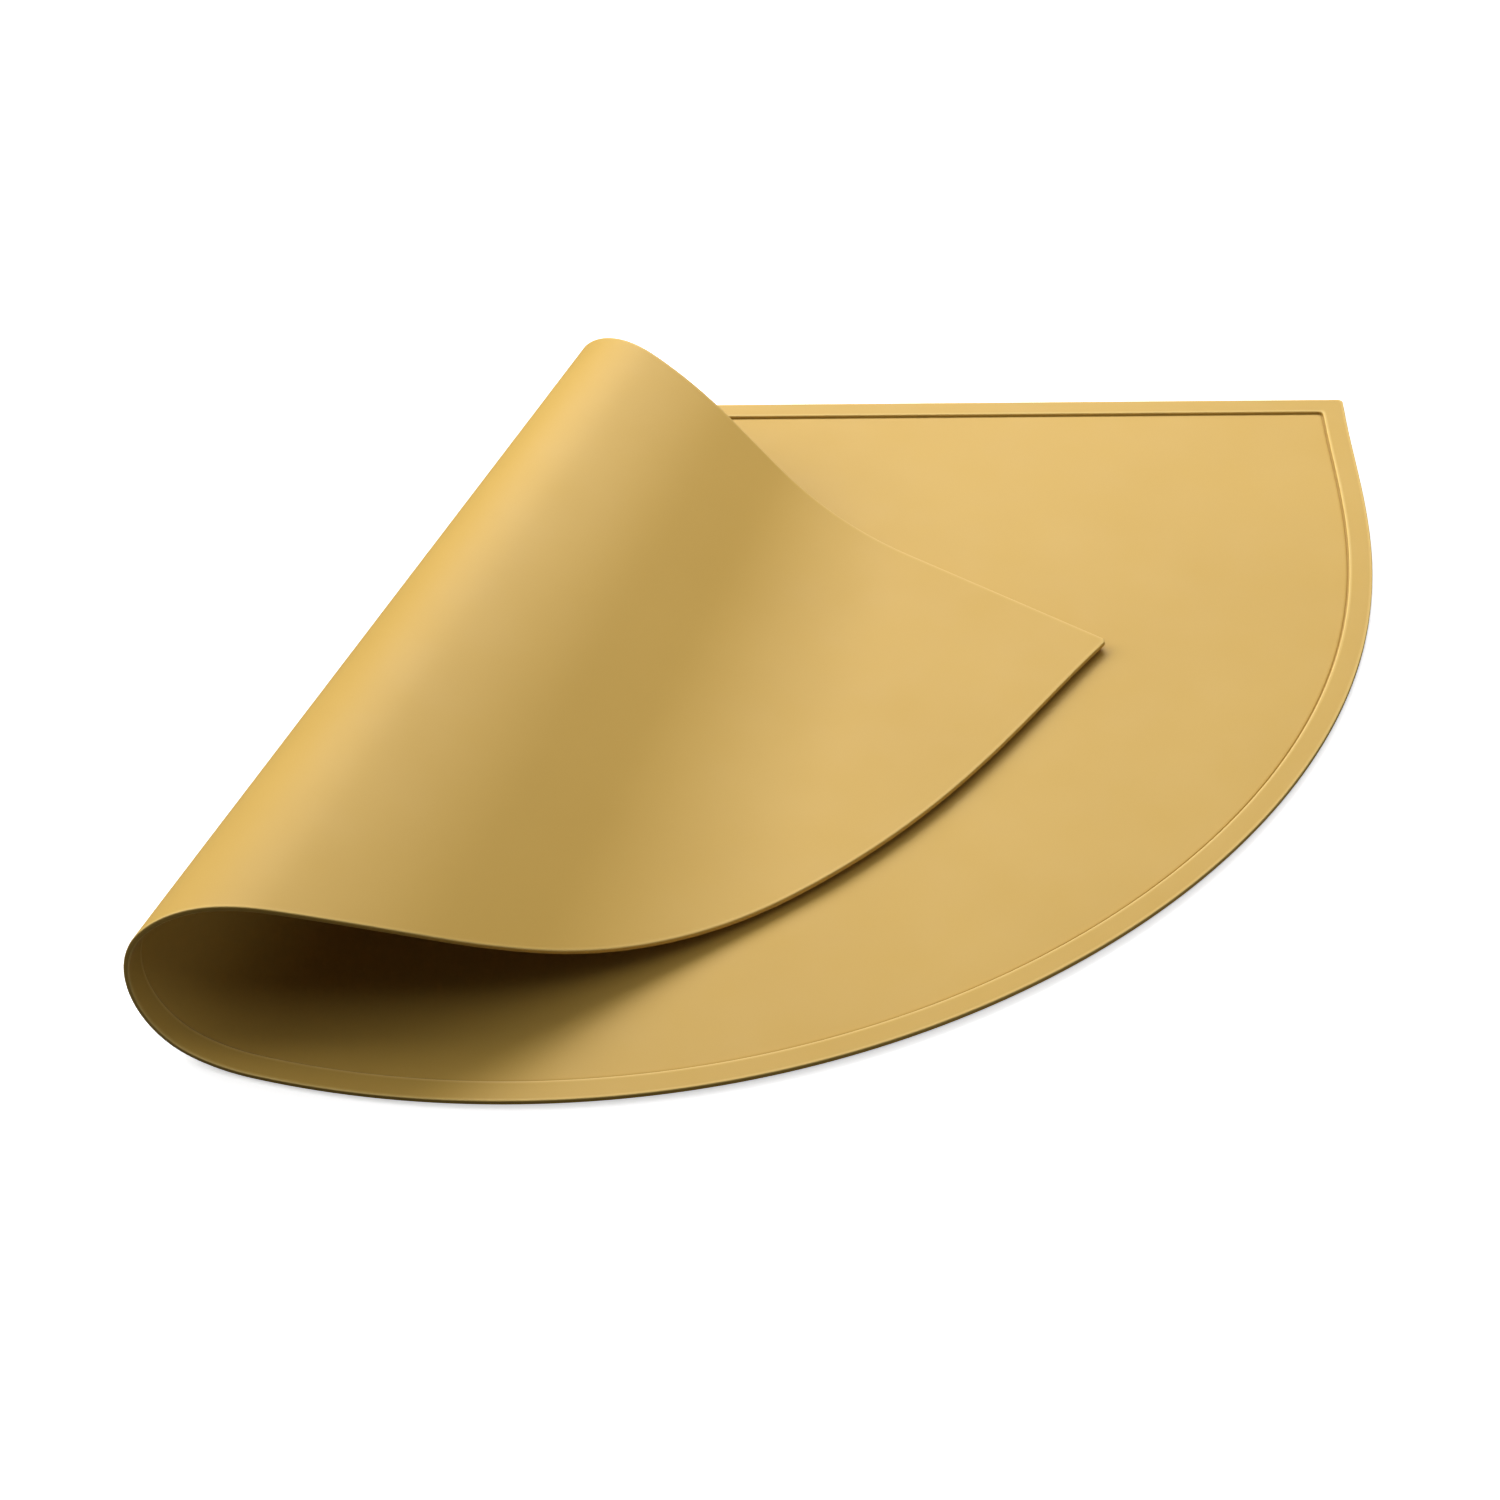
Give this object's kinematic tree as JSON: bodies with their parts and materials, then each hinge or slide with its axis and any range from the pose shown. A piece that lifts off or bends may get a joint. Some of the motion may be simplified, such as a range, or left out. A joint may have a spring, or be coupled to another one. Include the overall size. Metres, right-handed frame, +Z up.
{
  "type": "silicone place mat",
  "caption": "Half-moon silicone place mat with a raised rim, lying flat with one side rolled up and turned back over itself.",
  "frame": {"origin": "point on the underside of the flat half, near its middle, on the surface the mat lies on", "axes": "+X along the straight edge, away from the roll; +Y towards the straight edge; +Z up"},
  "size_m": [0.3157, 0.2901, 0.0451],
  "materials": {
    "silicone": "matte"
  },
  "bodies": {
    "base_panel": {"base_panel": "silicone"},
    "bend_strip_01": {"bend_strip_01": "silicone"},
    "bend_strip_02": {"bend_strip_02": "silicone"},
    "bend_strip_03": {"bend_strip_03": "silicone"},
    "bend_strip_04": {"bend_strip_04": "silicone"},
    "bend_strip_05": {"bend_strip_05": "silicone"},
    "bend_strip_06": {"bend_strip_06": "silicone"},
    "bend_strip_07": {"bend_strip_07": "silicone"},
    "bend_strip_08": {"bend_strip_08": "silicone"},
    "bend_strip_09": {"bend_strip_09": "silicone"},
    "bend_strip_10": {"bend_strip_10": "silicone"},
    "bend_strip_11": {"bend_strip_11": "silicone"},
    "bend_strip_12": {"bend_strip_12": "silicone"},
    "bend_strip_13": {"bend_strip_13": "silicone"},
    "bend_strip_14": {"bend_strip_14": "silicone"},
    "bend_strip_15": {"bend_strip_15": "silicone"},
    "flap_panel": {"flap_panel": "silicone"}
  },
  "joints": [
    {"name": "unroll", "type": "hinge", "parent": "base_panel", "child": "bend_strip_01", "pos_m": [-0.11807, 0.02087, 0.00075], "axis": [-0.2729, -0.962, 0], "range_deg": [0, 15]},
    {"name": "unroll_02", "type": "hinge", "parent": "bend_strip_01", "child": "bend_strip_02", "pos_m": [-0.12631, 0.02325, 0.00305], "axis": [-0.2803, -0.9599, 0.0021], "range_deg": [0, 15]},
    {"name": "unroll_03", "type": "hinge", "parent": "bend_strip_02", "child": "bend_strip_03", "pos_m": [-0.13025, 0.02441, 0.00542], "axis": [-0.2839, -0.9588, 0.0042], "range_deg": [0, 15]},
    {"name": "unroll_04", "type": "hinge", "parent": "bend_strip_03", "child": "bend_strip_04", "pos_m": [-0.13345, 0.02539, 0.00877], "axis": [-0.2868, -0.958, 0.0072], "range_deg": [0, 15]},
    {"name": "unroll_05", "type": "hinge", "parent": "bend_strip_04", "child": "bend_strip_05", "pos_m": [-0.13571, 0.0261, 0.01287], "axis": [-0.2889, -0.9573, 0.011], "range_deg": [0, 15]},
    {"name": "unroll_06", "type": "hinge", "parent": "bend_strip_05", "child": "bend_strip_06", "pos_m": [-0.13687, 0.02652, 0.01745], "axis": [-0.2899, -0.9569, 0.0151], "range_deg": [0, 15]},
    {"name": "unroll_07", "type": "hinge", "parent": "bend_strip_06", "child": "bend_strip_07", "pos_m": [-0.13685, 0.02659, 0.02193], "axis": [-0.2899, -0.9569, 0.0191], "range_deg": [0, 15]},
    {"name": "unroll_08", "type": "hinge", "parent": "bend_strip_07", "child": "bend_strip_08", "pos_m": [-0.13578, 0.02636, 0.02599], "axis": [-0.2889, -0.9571, 0.0228], "range_deg": [0, 15]},
    {"name": "unroll_09", "type": "hinge", "parent": "bend_strip_08", "child": "bend_strip_09", "pos_m": [-0.13373, 0.02584, 0.02964], "axis": [-0.2871, -0.9576, 0.0261], "range_deg": [0, 15]},
    {"name": "unroll_10", "type": "hinge", "parent": "bend_strip_09", "child": "bend_strip_10", "pos_m": [-0.12998, 0.02483, 0.03352], "axis": [-0.2837, -0.9585, 0.0296], "range_deg": [0, 15]},
    {"name": "unroll_11", "type": "hinge", "parent": "bend_strip_10", "child": "bend_strip_11", "pos_m": [-0.12433, 0.02328, 0.0369], "axis": [-0.2786, -0.9599, 0.0327], "range_deg": [0, 15]},
    {"name": "unroll_12", "type": "hinge", "parent": "bend_strip_11", "child": "bend_strip_12", "pos_m": [-0.11803, 0.02154, 0.03865], "axis": [-0.2729, -0.9614, 0.0343], "range_deg": [0, 15]},
    {"name": "unroll_13", "type": "hinge", "parent": "bend_strip_12", "child": "bend_strip_13", "pos_m": [-0.11055, 0.01944, 0.03864], "axis": [-0.2661, -0.9633, 0.0343], "range_deg": [0, 15]},
    {"name": "unroll_14", "type": "hinge", "parent": "bend_strip_13", "child": "bend_strip_14", "pos_m": [-0.09115, 0.01409, 0.03323], "axis": [-0.2486, -0.9682, 0.0294], "range_deg": [0, 15]},
    {"name": "unroll_15", "type": "hinge", "parent": "bend_strip_14", "child": "bend_strip_15", "pos_m": [-0.05105, 0.00414, 0.00929], "axis": [0.2123, 0.9772, -0.0077], "range_deg": [0, 15]},
    {"name": "unroll_16", "type": "hinge", "parent": "bend_strip_15", "child": "flap_panel", "pos_m": [-0.02781, -0.00068, 0.00288], "axis": [0.1913, 0.9815, -0.0019], "range_deg": [0, 15]}
  ],
  "couplings": [
    {"joint": "unroll_02", "follows": "unroll", "ratio": 1},
    {"joint": "unroll_03", "follows": "unroll", "ratio": 1},
    {"joint": "unroll_04", "follows": "unroll", "ratio": 1},
    {"joint": "unroll_05", "follows": "unroll", "ratio": 1},
    {"joint": "unroll_06", "follows": "unroll", "ratio": 1},
    {"joint": "unroll_07", "follows": "unroll", "ratio": 1},
    {"joint": "unroll_08", "follows": "unroll", "ratio": 1},
    {"joint": "unroll_09", "follows": "unroll", "ratio": 1},
    {"joint": "unroll_10", "follows": "unroll", "ratio": 1},
    {"joint": "unroll_11", "follows": "unroll", "ratio": 1},
    {"joint": "unroll_12", "follows": "unroll", "ratio": 1},
    {"joint": "unroll_13", "follows": "unroll", "ratio": 1},
    {"joint": "unroll_14", "follows": "unroll", "ratio": 1},
    {"joint": "unroll_15", "follows": "unroll", "ratio": 1},
    {"joint": "unroll_16", "follows": "unroll", "ratio": 1}
  ]
}
